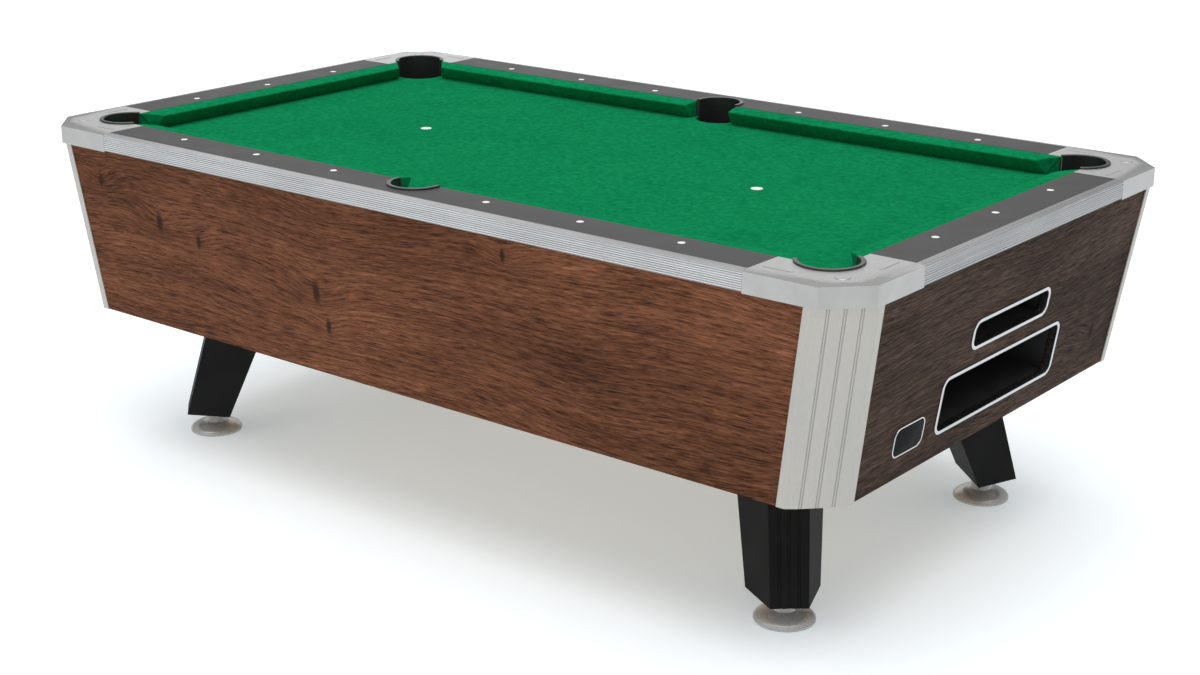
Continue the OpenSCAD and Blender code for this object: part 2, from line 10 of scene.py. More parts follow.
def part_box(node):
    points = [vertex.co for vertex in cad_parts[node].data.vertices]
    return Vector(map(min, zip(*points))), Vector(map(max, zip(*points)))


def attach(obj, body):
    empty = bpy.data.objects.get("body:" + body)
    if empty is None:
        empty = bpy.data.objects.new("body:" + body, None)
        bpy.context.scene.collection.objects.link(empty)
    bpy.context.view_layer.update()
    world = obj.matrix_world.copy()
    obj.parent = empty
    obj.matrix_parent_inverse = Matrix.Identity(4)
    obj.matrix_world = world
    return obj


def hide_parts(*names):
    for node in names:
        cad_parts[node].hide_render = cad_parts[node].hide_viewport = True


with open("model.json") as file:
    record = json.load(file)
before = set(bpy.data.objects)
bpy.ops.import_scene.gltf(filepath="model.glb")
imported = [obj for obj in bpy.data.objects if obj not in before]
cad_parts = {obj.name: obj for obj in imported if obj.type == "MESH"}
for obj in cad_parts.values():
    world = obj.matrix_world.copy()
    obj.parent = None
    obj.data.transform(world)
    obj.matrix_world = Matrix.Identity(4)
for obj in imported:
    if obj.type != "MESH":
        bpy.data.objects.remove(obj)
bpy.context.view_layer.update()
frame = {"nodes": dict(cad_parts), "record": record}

MM = 0.001
NODES = frame["nodes"]
TABLE = "table"
ENDS = {"head": -1, "foot": 1}
SIDES = {"near": -1, "far": 1}
CORNERS = [f"{side}_{end}" for side in SIDES for end in ENDS]

# half the table's length and width, to the castings' outer edges
HALF_L, HALF_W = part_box("casting_far_foot")[1].xy
RAIL_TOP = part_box("side_rail_near")[1].z
CLOTH_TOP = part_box("bed_cloth")[1].z
SLATE_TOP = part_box("slate")[1].z


def opening_centre(name):
    """Middle, in plan, of one of the record's openings."""
    openings = frame["record"]["physics"]["openings"]
    low, high = next(o["box_m"] for o in openings if o["name"] == name)
    return Vector(((low[0] + high[0]) / 2, (low[1] + high[1]) / 2))


def node_centre(name):
    """Middle, in plan, of a CAD node."""
    low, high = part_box(name)
    return ((low.x + high.x) / 2, (low.y + high.y) / 2)


POCKETS = [opening_centre(f"pocket_{side}_{place}") for side in SIDES for place in ("head", "foot", "side")]


# ---------- mesh helpers ----------

def add_mesh(name, shape, material, body=TABLE, crease=35):
    """A new piece from (points, faces), riding on a body, smooth but for edges sharper than crease degrees."""
    points, faces = outward(*shape)
    mesh = bpy.data.meshes.new(name)
    mesh.from_pydata([tuple(p) for p in points], [], faces)
    mesh.validate()
    mesh.materials.append(material)
    mesh.shade_smooth()
    mesh.set_sharp_from_angle(angle=math.radians(crease))
    piece = bpy.data.objects.new(name, mesh)
    bpy.context.scene.collection.objects.link(piece)
    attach(piece, body)
    return piece


def outward(points, faces):
    """The same shape with its faces turned outwards, or upwards for an open one."""
    volume = 0.0
    for face in faces:
        a = Vector(points[face[0]])
        for i in range(1, len(face) - 1):
            volume += a.dot(Vector(points[face[i]]).cross(Vector(points[face[i + 1]])))
    return points, faces if volume > 0 else [tuple(reversed(face)) for face in faces]


def merged(shapes):
    """Several (points, faces) shapes as one."""
    points, faces = [], []
    for shape_points, shape_faces in (outward(*shape) for shape in shapes):
        start = len(points)
        points += list(shape_points)
        faces += [tuple(i + start for i in face) for face in shape_faces]
    return points, faces


def lathe(profile, segments, centre):
    """A closed shape from a profile of (radius, z) points turned about a vertical axis, from axis to axis."""
    points, faces, rings = [], [], []
    for radius, z in profile:
        count = segments if radius > 0 else 1
        rings.append([len(points) + i for i in range(count)])
        for i in range(count):
            turn = 2 * math.pi * i / segments
            points.append((centre[0] + radius * math.cos(turn), centre[1] + radius * math.sin(turn), z))
    for a, b in zip(rings, rings[1:]):
        for i in range(segments):
            j = (i + 1) % segments
            corners = [a[i % len(a)], a[j % len(a)], b[j % len(b)], b[i % len(b)]]
            faces.append(tuple(dict.fromkeys(corners)))
    return points, faces


def loft(rings):
    """A closed shape through rings that all have the same number of points."""
    n = len(rings[0])
    points = [p for ring in rings for p in ring]
    faces = [tuple(range(n)), tuple(reversed(range((len(rings) - 1) * n, len(rings) * n)))]
    for r in range(len(rings) - 1):
        for i in range(n):
            j = (i + 1) % n
            faces.append((r * n + j, r * n + i, (r + 1) * n + i, (r + 1) * n + j))
    return points, faces


def arc(centre, radius, start, end, steps):
    """Points of a plane arc, with its angles in degrees."""
    turns = [math.radians(start + (end - start) * i / steps) for i in range(steps + 1)]
    return [(centre[0] + radius * math.cos(t), centre[1] + radius * math.sin(t)) for t in turns]


def rounded_rect(width, height, radius, steps=10):
    """Outline of a rounded rectangle round the origin, counter-clockwise."""
    outline = []
    for i, (sx, sy) in enumerate([(1, 1), (-1, 1), (-1, -1), (1, -1)]):
        centre = (sx * (width / 2 - radius), sy * (height / 2 - radius))
        outline += arc(centre, radius, 90 * i, 90 * i + 90, steps)
    return outline


def rounded_polygon(corners, steps=6):
    """Outline of a convex, counter-clockwise polygon of (x, y, radius) corners, each rounded to its radius."""
    outline = []
    for i, (x, y, radius) in enumerate(corners):
        corner = Vector((x, y))
        to_last = (Vector(corners[i - 1][:2]) - corner).normalized()
        to_next = (Vector(corners[(i + 1) % len(corners)][:2]) - corner).normalized()
        turn = math.pi - to_last.angle(to_next)
        centre = corner + (to_last + to_next).normalized() * radius / math.cos(turn / 2)
        start = math.atan2(to_last.x, -to_last.y)
        outline += arc(centre, radius, math.degrees(start), math.degrees(start + turn), steps)
    return outline


def drawn_in(outline, distance):
    """A closed outline moved inwards, point by point. It has to run counter-clockwise."""
    moved = []
    for i, point in enumerate(outline):
        along = Vector(outline[(i + 1) % len(outline)]) - Vector(outline[i - 1])
        moved.append(tuple(Vector(point) + Vector((-along.y, along.x)).normalized() * distance))
    return moved


# ---------- material helpers ----------

class Paint:
    """A node material: its Principled shader, and short calls that add nodes to it."""

    def __init__(self, name, **values):
        self.material = bpy.data.materials.new(name)
        self.material.use_nodes = True
        self.tree = self.material.node_tree
        self.shader = next(n for n in self.tree.nodes if n.type == "BSDF_PRINCIPLED")
        for socket, value in values.items():
            self.shader.inputs[socket.replace("_", " ")].default_value = value
        self.place = self.node("ShaderNodeTexCoord").outputs["Object"]

    def node(self, kind, settings=None, **inputs):
        made = self.tree.nodes.new(kind)
        for key, value in (settings or {}).items():
            setattr(made, key, value)
        for key, value in inputs.items():
            self.feed(made.inputs[key.replace("_", " ")], value)
        return made

    def feed(self, socket, value):
        if isinstance(value, bpy.types.NodeSocket):
            self.tree.links.new(value, socket)
        else:
            socket.default_value = value

    def math(self, operation, a, b=0.0):
        made = self.node("ShaderNodeMath", {"operation": operation})
        self.feed(made.inputs[0], a)
        self.feed(made.inputs[1], b)
        return made.outputs[0]

    def scaled(self, scale):
        return self.node("ShaderNodeMapping", Vector=self.place, Scale=scale).outputs[0]

    def joined(self, x, y, z):
        return self.node("ShaderNodeCombineXYZ", X=x, Y=y, Z=z).outputs[0]

    def noise(self, vector, scale, detail=2.0, roughness=0.5, distortion=0.0):
        made = self.node(
            "ShaderNodeTexNoise",
            Vector=vector, Scale=scale, Detail=detail, Roughness=roughness, Distortion=distortion,
        )
        return made.outputs["Fac"]

    def ramp(self, value, *stops):
        """A colour from (position, colour or grey) stops."""
        made = self.node("ShaderNodeValToRGB", Fac=value)
        elements = made.color_ramp.elements
        while len(elements) < len(stops):
            elements.new(0.5)
        for element, (position, colour) in zip(elements, stops):
            element.position = position
            element.color = (*(colour if isinstance(colour, tuple) else (colour,) * 3), 1)
        return made.outputs["Color"]

    def between(self, value, low, high, start=0.3, end=0.7):
        """A number that goes from low to high as value goes from start to end."""
        made = self.node("ShaderNodeMapRange", Value=value)
        for key, number in (("From Min", start), ("From Max", end), ("To Min", low), ("To Max", high)):
            made.inputs[key].default_value = number
        return made.outputs[0]

    def mix(self, kind, factor, a, b):
        made = self.node("ShaderNodeMix", {"data_type": "RGBA", "blend_type": kind})
        for index, value in ((0, factor), (6, a), (7, b)):
            self.feed(made.inputs[index], value)
        return made.outputs[2]

    def times(self, a, b):
        return self.mix("MULTIPLY", 1.0, a, b)

    def relief(self, height, distance, strength):
        bump = self.node("ShaderNodeBump", Height=height, Distance=distance, Strength=strength)
        self.feed(self.shader.inputs["Normal"], bump.outputs[0])

    def with_painted_shade(self, tone, reach, depth):
        """The tone, darker by up to depth as painted shade where another part of the same piece is within reach, as
        in grooves and hollows.
        """
        shade = self.node("ShaderNodeAmbientOcclusion", {"samples": 6, "only_local": True}, Distance=reach)
        return self.times(tone, self.ramp(shade.outputs["AO"], (0.35, 1 - depth), (0.95, 1.0)))

    def colour(self, value):
        self.feed(self.shader.inputs["Base Color"], value)

    def roughness(self, value):
        self.feed(self.shader.inputs["Roughness"], value)


# ---------- materials ----------

def felt(name, light):
    """Short-napped green cloth: mottled at a few millimetres, with a fine fibre relief. light scales its tones; above
    1 it is painted light.
    """
    p = Paint(name, Sheen_Weight=0.03, Sheen_Roughness=0.4, Specular_IOR_Level=0.0)
    p.shader.inputs["Sheen Tint"].default_value = (0.25, 0.8, 0.5, 1)
    broad = p.noise(p.place, 7.0, 3, 0.6)
    patches = p.noise(p.place, 80.0, 4, 0.65, 0.3)
    fibres = p.noise(p.scaled((1, 0.75, 1)), 520.0, 3, 0.7)
    nap = p.math("ADD", p.math("MULTIPLY", patches, 0.55), p.math("MULTIPLY", fibres, 0.45))
    tones = [(0.002, 0.140, 0.048), (0.004, 0.205, 0.074), (0.009, 0.285, 0.112)]
    stops = [(at, tuple(light * c for c in tone)) for at, tone in zip((0.34, 0.5, 0.66), tones)]
    p.colour(p.times(p.ramp(nap, *stops), p.ramp(broad, (0.3, 0.93), (0.7, 1.05))))
    p.roughness(p.between(fibres, 0.88, 1.0))
    p.relief(nap, 1.0 * MM, 0.6)
    return p.material


def laminate(name):
    """Dark grey high-pressure laminate with a faint speckle."""
    p = Paint(name, Specular_IOR_Level=0.22)
    speckle = p.noise(p.place, 800.0, 2, 0.6)
    cloud = p.noise(p.place, 12.0, 3)
    p.colour(p.times(p.ramp(speckle, (0.35, 0.054), (0.65, 0.086)), p.ramp(cloud, (0.3, 0.94), (0.7, 1.05))))
    p.roughness(p.between(cloud, 0.5, 0.6))
    p.relief(speckle, 0.08 * MM, 0.3)
    return p.material


def cast_metal(name):
    """Cast aluminium: stippled on top, polished on its sloping band and painted lighter there as a painted highlight,
    plain on its sides.
    """
    p = Paint(name, Metallic=0.8)
    normal = p.node("ShaderNodeNewGeometry").outputs["Normal"]
    up = p.node("ShaderNodeSeparateXYZ", Vector=normal).outputs["Z"]
    level = p.between(up, 0.0, 1.0, 0.993, 0.999)
    slope = p.math("MULTIPLY", p.between(up, 0.0, 1.0, 0.87, 0.92), p.between(up, 1.0, 0.0, 0.993, 0.999))
    stipple = p.noise(p.place, 760.0, 2, 0.6)
    cloud = p.noise(p.place, 16.0, 4, 0.6)
    rough_top = p.ramp(stipple, (0.36, 0.44), (0.6, 0.74))
    plain = p.ramp(cloud, (0.3, (0.395, 0.388, 0.373)), (0.7, (0.465, 0.457, 0.440)))
    # the sloping band's lighter grey is a painted highlight along the polished bevel
    p.colour(p.mix("MIX", slope, p.mix("MIX", level, plain, rough_top), (0.60, 0.60, 0.59, 1)))
    dull = p.math("ADD", p.between(cloud, 0.28, 0.36), p.math("MULTIPLY", level, 0.16))
    p.roughness(p.math("SUBTRACT", dull, p.math("MULTIPLY", slope, 0.17)))
    p.relief(p.math("MULTIPLY", stipple, level), 0.5 * MM, 0.5)
    return p.material


def drawn_metal(name, tone, grain):
    """Extruded aluminium with fine lines along it, painted glints, and painted shade between its ribs. grain is how
    fine they are along X, Y and Z.
    """
    p = Paint(name, Metallic=0.85)
    lines = p.noise(p.scaled(grain), 1.0, 4, 0.6)
    cloud = p.noise(p.place, 7.0, 3)
    shade = p.times(p.ramp(lines, (0.3, 0.95 * tone), (0.7, 1.08 * tone)), p.ramp(cloud, (0.3, 0.94), (0.7, 1.05)))
    # painted glints: bright specks in the colour that stand in for light caught by the metal
    painted_glints = p.ramp(p.noise(p.scaled([g ** 0.75 for g in grain]), 1.0, 3, 0.7), (0.4, 0.98), (0.68, 1.16))
    # painted shade: the colour darkens between the ribs
    p.colour(p.with_painted_shade(p.times(shade, painted_glints), 3 * MM, 0.9))
    p.roughness(p.between(lines, 0.2, 0.4))
    p.relief(lines, 0.1 * MM, 0.4)
    return p.material


def wood(name, along, tones, knots, seed):
    """Walnut laminate: fine dark dashes along a gently wavy grain that swells over small dark knots.

    along is the axis the grain follows, and a knot is (place along it, height, size)."""
    p = Paint(name, Specular_IOR_Level=0.03)
    axes = p.node("ShaderNodeSeparateXYZ", Vector=p.place).outputs
    u, z = axes[along], axes["Z"]

    def plane(per_u, per_z, height):
        return p.joined(p.math("MULTIPLY", u, per_u), p.math("MULTIPLY", height, per_z), seed)

    sway = p.math("SUBTRACT", p.noise(plane(1.3, 2.2, z), 1.0, 1.2, 0.45), 0.5)
    grain = p.math("ADD", z, p.math("MULTIPLY", sway, 0.13))
    core = 0.0
    for place, height, size in knots:
        off_u, off_z = p.math("SUBTRACT", u, place), p.math("SUBTRACT", z, height)
        square_u, square_z = p.math("MULTIPLY", off_u, off_u), p.math("MULTIPLY", off_z, off_z)

        def mound(weight_u, weight_z, radius):
            """A number that is 1 at the knot and dies away past radius, further where the weight is less."""
            square = p.math("ADD", p.math("MULTIPLY", square_u, weight_u), p.math("MULTIPLY", square_z, weight_z))
            return p.math("POWER", math.e, p.math("MULTIPLY", square, -1 / radius ** 2))

        core = p.math("MAXIMUM", core, mound(1.0, 0.2, 0.42 * size))
        grain = p.math("ADD", grain, p.math("MULTIPLY", mound(0.2, 1.0, 1.6 * size), 1.2 * size))

    bands = p.noise(plane(1.1, 17, grain), 1.0, 3, 0.6, 0.2)
    streaks = p.noise(plane(5, 130, grain), 1.0, 3, 0.6)
    dashes = p.noise(plane(22, 380, grain), 1.0, 3, 0.7)
    pores = p.noise(plane(80, 1100, grain), 1.0, 2, 0.6)
    clouds = p.noise(plane(1.6, 3.2, z), 1.0, 2)
    figure = p.math("ADD", p.math("MULTIPLY", streaks, 0.32), p.math("MULTIPLY", dashes, 0.68))
    tone = p.times(p.ramp(figure, *tones), p.ramp(bands, (0.3, 0.78), (0.7, 1.2)))
    tone = p.times(tone, p.ramp(pores, (0.34, 0.78), (0.56, 1.06)))
    tone = p.times(tone, p.ramp(clouds, (0.3, 0.7), (0.7, 1.26)))
    p.colour(p.mix("MIX", p.between(core, 0.0, 0.9, 0.1, 0.7), tone, (*tones[0][1], 1)))
    p.roughness(p.between(dashes, 0.62, 0.5))
    p.relief(p.math("ADD", dashes, p.math("MULTIPLY", pores, 0.5)), 0.12 * MM, 0.3)
    return p.material


def post_metal(name):
    """Satin anodised extrusion, warm in tone, with faint marks along its length, and painted shade darkening its
    grooves.
    """
    p = Paint(name, Metallic=0.45, Specular_IOR_Level=0.3)
    lines = p.noise(p.scaled((420, 420, 1.5)), 1.0, 3, 0.6)
    grit = p.noise(p.place, 900.0, 2, 0.6)
    cloud = p.noise(p.scaled((9, 9, 3)), 1.0, 3)
    tone = p.ramp(lines, (0.3, (0.475, 0.455, 0.42)), (0.7, (0.53, 0.507, 0.468)))
    tone = p.times(tone, p.ramp(cloud, (0.3, (0.95, 0.95, 0.96)), (0.7, (1.04, 1.03, 1.01))))
    tone = p.times(tone, p.ramp(grit, (0.3, 0.93), (0.7, 1.04)))
    # painted shade: the colour darkens in the grooves
    p.colour(p.with_painted_shade(tone, 5 * MM, 0.55))
    p.roughness(p.between(lines, 0.40, 0.50))
    p.relief(lines, 0.05 * MM, 0.2)
    return p.material


def sawn_wood(name):
    """Pale sawn softwood, for the parts inside."""
    p = Paint(name)
    rings = p.noise(p.scaled((3, 60, 60)), 1.0, 4, 0.6, 0.5)
    p.colour(p.ramp(rings, (0.3, (0.36, 0.23, 0.12)), (0.7, (0.56, 0.40, 0.24))))
    p.roughness(p.between(rings, 0.65, 0.8))
    p.relief(rings, 0.3 * MM, 0.3)
    return p.material


def moulded(name, dark, pale, rough, grain, depth=0.1, **values):
    """A moulded or painted surface: two close tones and a fine texture."""
    p = Paint(name, **values)
    fine = p.noise(p.place, grain, 3, 0.6)
    cloud = p.noise(p.place, 11.0, 3)
    p.colour(p.ramp(cloud, (0.3, dark), (0.7, pale)))
    p.roughness(p.between(fine, rough - 0.06, rough + 0.06))
    p.relief(fine, depth * MM, 0.35)
    return p.material


def plated(name, tone, rough):
    """Bright metal: chrome, nickel or zinc."""
    p = Paint(name, Metallic=1.0)
    cloud = p.noise(p.place, 220.0, 3, 0.6)
    p.colour(p.ramp(cloud, (0.3, 0.93 * tone), (0.7, tone)))
    p.roughness(p.between(cloud, rough * 0.8, rough * 1.25))
    return p.material


# wood tones, as (position, colour) stops
WALNUT = [
    (0.38, (0.034, 0.015, 0.010)), (0.46, (0.104, 0.041, 0.023)),
    (0.53, (0.168, 0.066, 0.033)), (0.64, (0.275, 0.110, 0.054)),
]
# the head and foot panels' walnut: greyer in tone, and darker as painted shade on the ends
GREYER_SHADED_WALNUT = [
    (0.38, (0.010, 0.007, 0.005)), (0.46, (0.036, 0.022, 0.017)),
    (0.53, (0.064, 0.039, 0.028)), (0.64, (0.118, 0.073, 0.051)),
]
NEAR_KNOTS = [
    (-0.971, 0.700, 0.018), (-0.763, 0.625, 0.026), (-0.626, 0.600, 0.018),
    (-0.233, 0.550, 0.026), (-0.202, 0.475, 0.018), (0.338, 0.740, 0.016),
]
FAR_KNOTS = [(0.42, 0.62, 0.026), (-0.3, 0.5, 0.02)]
MATERIALS = {
    "cloth": felt("bed_cloth_felt", 1.0),
    # the cushions' felt is the bed's cloth painted 8% lighter, as painted light
    "cushion": felt("cushion_felt", 1.08),
    "rail": laminate("rail_laminate"),
    "casting": cast_metal("cast_aluminium"),
    # the end trims are the same aluminium as the side trims, painted darker (0.44 against 0.54) as painted shade
    "side_trim": drawn_metal("side_trim_aluminium", 0.54, (1.5, 700, 700)),
    "end_trim": drawn_metal("end_trim_aluminium_shaded", 0.44, (700, 1.5, 700)),
    "corner_post": post_metal("post_aluminium"),
    "side_panel_near": wood("walnut_near", "X", WALNUT, NEAR_KNOTS, 3.0),
    "side_panel_far": wood("walnut_far", "X", WALNUT, FAR_KNOTS, 8.0),
    "head_panel": wood("walnut_head", "Y", GREYER_SHADED_WALNUT, [(0.2, 0.5, 0.024)], 13.0),
    "foot_panel": wood("walnut_foot", "Y", GREYER_SHADED_WALNUT, [(0.44, 0.46, 0.02)], 21.0),
    "wood": sawn_wood("sawn_softwood"),
    "slate": moulded("slate_stone", 0.032, 0.057, 0.6, 90.0),
    "liner": moulded("liner_plastic", 0.020, 0.030, 0.3, 500.0),
    "leg": moulded("leg_powder_coat", 0.011, 0.015, 0.5, 650.0, 0.12, Specular_IOR_Level=0.06),
    "tray": moulded("tray_plastic", 0.020, 0.032, 0.5, 420.0),
    "runway": moulded("runway_plastic", 0.045, 0.065, 0.55, 420.0),
    "sight": moulded("sight_plastic", (0.84, 0.84, 0.82), (0.90, 0.90, 0.88), 0.25, 60.0, 0.02),
    "spot": moulded("spot_paper", (0.78, 0.83, 0.79), (0.87, 0.90, 0.87), 0.7, 700.0, 0.05),
    "bezel": plated("bezel_chrome", 0.55, 0.22),
    "steel": plated("zinc_steel", 0.52, 0.38),
    "stem": plated("thread_steel", 0.62, 0.3),
    "pad": moulded("pad_enamel", (0.50, 0.49, 0.475), (0.62, 0.61, 0.59), 0.3, 420.0, 0.12, Metallic=0.5),
    "badge": moulded("badge_enamel", 0.006, 0.010, 0.55, 90.0, 0.02, Specular_IOR_Level=0.05),
}
BY_NODE = {
    "bed_cloth": "cloth", "slate_beams": "wood", "cabinet_floor": "wood", "side_rail": "rail", "end_rail": "rail",
    "sights": "sight", "upper_bezel": "bezel", "lower_bezel": "bezel", "shelf_box": "tray", "ball_tray": "tray",
    "cross_runway": "runway", "foot_plates": "steel", "leg_bolts": "steel", "rail_bolts": "steel",
}


def cad_material(node):
    """The material of a CAD node, by the longest start of its name that has one."""
    starts = [s for s in [*MATERIALS, *BY_NODE] if node.startswith(s)]
    key = max(starts, key=len)
    return MATERIALS[BY_NODE.get(key, key)]


# ---------- CAD nodes: materials and eased edges ----------

def geometry_group(name):
    """An empty geometry node group with its input and output nodes."""
    group = bpy.data.node_groups.new(name, "GeometryNodeTree")
    for direction in ("INPUT", "OUTPUT"):
        group.interface.new_socket("Geometry", in_out=direction, socket_type="NodeSocketGeometry")
    return group, group.nodes.new("NodeGroupInput"), group.nodes.new("NodeGroupOutput")


def weld_group():
    """Joins a CAD mesh's split corners and drops its stored normals, before its edges are eased."""
    group, start, end = geometry_group("weld")
    drop = group.nodes.new("GeometryNodeRemoveAttribute")
    drop.inputs["Name"].default_value = "custom_normal"
    weld = group.nodes.new("GeometryNodeMergeByDistance")
    weld.inputs["Distance"].default_value = 0.004 * MM
    group.links.new(start.outputs[0], drop.inputs[0])
    group.links.new(drop.outputs[0], weld.inputs[0])
    group.links.new(weld.outputs[0], end.inputs[0])
    return group


def shade_group(degrees):
    """Smooth shading with edges over an angle kept sharp."""
    group, start, end = geometry_group("shade")
    angle = group.nodes.new("GeometryNodeInputMeshEdgeAngle")
    over = group.nodes.new("FunctionNodeCompare")
    over.inputs[1].default_value = math.radians(degrees)
    last = start.outputs[0]
    for domain, smooth in (("FACE", True), ("EDGE", True), ("EDGE", False)):
        shade = group.nodes.new("GeometryNodeSetShadeSmooth")
        shade.domain = domain
        shade.inputs["Shade Smooth"].default_value = smooth
        group.links.new(last, shade.inputs["Geometry"])
        if not smooth:
            group.links.new(angle.outputs["Unsigned Angle"], over.inputs[0])
            group.links.new(over.outputs[0], shade.inputs["Selection"])
        last = shade.outputs[0]
    group.links.new(last, end.inputs[0])
    return group


SHARP = 32  # degrees
WELD = weld_group()
SHADE = shade_group(SHARP)
# how wide the eased edges are, in millimetres, by the start of the node's name
EASED = {
    "casting": 0.7, "side_panel": 0.8, "head_panel": 0.8, "foot_panel": 0.8, "corner_post": 0.5, "leg_near": 0.9,
    "leg_far": 0.9, "side_rail": 0.6, "end_rail": 0.6, "upper_bezel": 0.7, "lower_bezel": 0.7,
    "side_trim": 0.25, "end_trim": 0.25, "cabinet_floor": 0.6, "slate_beams": 1.0,
}


def ease_edges(node, width):
    """Rounds a CAD node's sharp edges a little with modifiers; its own mesh stays as it is."""
    node.modifiers.new("weld", "NODES").node_group = WELD
    flat = node.modifiers.new("flat", "DECIMATE")
    flat.decimate_type = "DISSOLVE"
    flat.angle_limit = math.radians(0.5)
    node.modifiers.new("shade", "NODES").node_group = SHADE
    bevel = node.modifiers.new("bevel", "BEVEL")
    bevel.width = width * MM
    bevel.segments = 2
    bevel.limit_method = "ANGLE"
    bevel.angle_limit = math.radians(SHARP)
    bevel.use_clamp_overlap = True
    bevel.harden_normals = True


def finish_cad_nodes():
    for name, node in NODES.items():
        node.data.materials.clear()
        node.data.materials.append(cad_material(name))
        for start, width in EASED.items():
            if name.startswith(start):
                ease_edges(node, width)


# ---------- bed cloth ----------

HOLE_RADIUS = {"corner": 63.6 * MM, "side": 58.6 * MM}
ROLL = 2.2 * MM     # radius of the bend over a hole's edge
TUCK = 14 * MM      # how far down into a hole it reaches
CLOTH_THICKNESS = 0.8 * MM
SPOT_FROM_MIDDLE = 0.43 * HALF_L


def bed_quarter():
    """The cloth's edge from the foot end's middle to the far side pocket's, as (x, y, pocket centre or None)."""
    low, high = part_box("bed_cloth")
    corner, side = opening_centre("pocket_far_foot"), opening_centre("pocket_far_side")
    r_corner, r_side = HOLE_RADIUS["corner"] + ROLL, HOLE_RADIUS["side"] + ROLL
    past = math.degrees(math.asin((high.y - side.y) / r_side))
    end_edge = [(high.x, corner.y * i / 12, None) for i in range(1, 13)]
    corner_edge = [(x, y, corner) for x, y in arc(corner, r_corner, 0, -270, 54)]
    side_start = side.x + r_side * math.cos(math.radians(past))
    side_edge = [(corner.x + (side_start - corner.x) * i / 24, high.y, None) for i in range(24)]
    notch = [(x, y, side) for x, y in arc(side, r_side, past, -90, 26)][:-1]
    return end_edge + corner_edge + side_edge + notch


def mirrored(points, sx, sy):
    flipped = [(sx * x, sy * y, c and Vector((sx * c.x, sy * c.y))) for x, y, c in points]
    return flipped if sx * sy > 0 else flipped[::-1]


def bed_outline():
    quarter = bed_quarter()
    side_middle = opening_centre("pocket_far_side")
    lowest = (side_middle.x, side_middle.y - HOLE_RADIUS["side"] - ROLL, side_middle)
    far = mirrored(quarter, 1, 1) + [lowest] + mirrored(quarter, -1, 1)
    near = mirrored(quarter, -1, -1) + mirrored([lowest], 1, -1) + mirrored(quarter, 1, -1)
    return far + near


def bed_inner_points(outline, pitch=38 * MM, clear=16 * MM):
    """A grid of points inside the cloth's edge, clear of it."""
    low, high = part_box("bed_cloth")
    edge = [Vector(p[:2]) for p in outline]
    corner = opening_centre("pocket_far_foot")
    across, up = int((high.x - low.x) / pitch), int((high.y - low.y) / pitch)
    points = []
    for i in range(1, across):
        for j in range(1, up):
            point = Vector((low.x + (high.x - low.x) * i / across, low.y + (high.y - low.y) * j / up))
            beyond = abs(point.x) > corner.x and abs(point.y) > corner.y
            in_pocket = any(c and (point - c).length < HOLE_RADIUS["corner"] + clear for c in POCKETS)
            if not beyond and not in_pocket and min((point - e).length for e in edge) > clear:
                points.append(point)
    return points


def bed_cloth():
    """One sheet over the slate, rolled down into each pocket."""
    outline = bed_outline()
    flat = [Vector(p[:2]) for p in outline] + bed_inner_points(outline)
    made, _, triangles, originals, *_ = delaunay_2d_cdt(flat, [], [list(range(len(outline)))], 1, 1e-6)
    points = [(p.x, p.y, CLOTH_TOP) for p in made]
    faces = [tuple(t) for t in triangles]
    place = {source: i for i, sources in enumerate(originals) for source in sources}
    drops = [(ROLL * math.sin(a), ROLL * (1 - math.cos(a))) for a in (0.4, 0.8, 1.2, math.pi / 2)]
    drops += [(ROLL, ROLL + (TUCK - ROLL) * i / 3) for i in (1, 2, 3)]
    columns = {}
    for i, (x, y, pocket) in enumerate(outline):
        if pocket:
            inward = (pocket - Vector((x, y))).normalized()
            columns[i] = [place[i]] + [len(points) + k for k in range(len(drops))]
            points += [(x + inward.x * d, y + inward.y * d, CLOTH_TOP - fall) for d, fall in drops]
    for i, column in columns.items():
        after = (i + 1) % len(outline)
        if after in columns and outline[after][2] == outline[i][2]:
            beside = columns[after]
            faces += [(column[k], column[k + 1], beside[k + 1], beside[k]) for k in range(len(drops))]
    sheet = add_mesh("bed_cloth_sheet", (points, faces), MATERIALS["cloth"])
    shell = sheet.modifiers.new("thickness", "SOLIDIFY")
    shell.thickness = CLOTH_THICKNESS
    shell.offset = -1
    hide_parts("bed_cloth")


def bed_spots():
    """Two thin round spots on the cloth."""
    section = [(0, 0.28), (13.4, 0.28), (13.9, 0.2), (14, 0.06), (13.6, 0.02), (0, 0.02)]
    profile = [(radius * MM, CLOTH_TOP + height * MM) for radius, height in section]
    shape = merged([lathe(profile, 64, (s * SPOT_FROM_MIDDLE, 0)) for s in (-1, 1)])
    spots = add_mesh("bed_spots", shape, MATERIALS["spot"])


# ---------- cushions ----------

# distances in from the table's outer edge
CUSHION_BACK = 119.3 * MM
NOSE = 165 * MM
# where a cushion's facing starts at its back and at its nose: from the table's corner at a corner pocket,
# and from the table's middle at a side pocket
CORNER_BACK, CORNER_NOSE = 209 * MM, 250 * MM
SIDE_BACK, SIDE_NOSE = 62 * MM, 68 * MM
FACING_ROUND = 2.6 * MM


def cushion_profile():
    """Section of a covered cushion as (distance in from the table's side, z), counter-clockwise."""
    foot = CLOTH_TOP + 0.4 * MM
    back = CUSHION_BACK + 0.2 * MM
    return rounded_polygon([
        (back, foot, 0.8 * MM), (NOSE - 19 * MM, foot, 1.5 * MM), (NOSE - 9 * MM, foot + 15.5 * MM, 30 * MM),
        (NOSE + 2.1 * MM, RAIL_TOP - 6.2 * MM, 3.1 * MM), (NOSE - 22 * MM, RAIL_TOP - 2.1 * MM, 60 * MM),
        (back, RAIL_TOP - 0.2 * MM, 1.4 * MM),
    ])


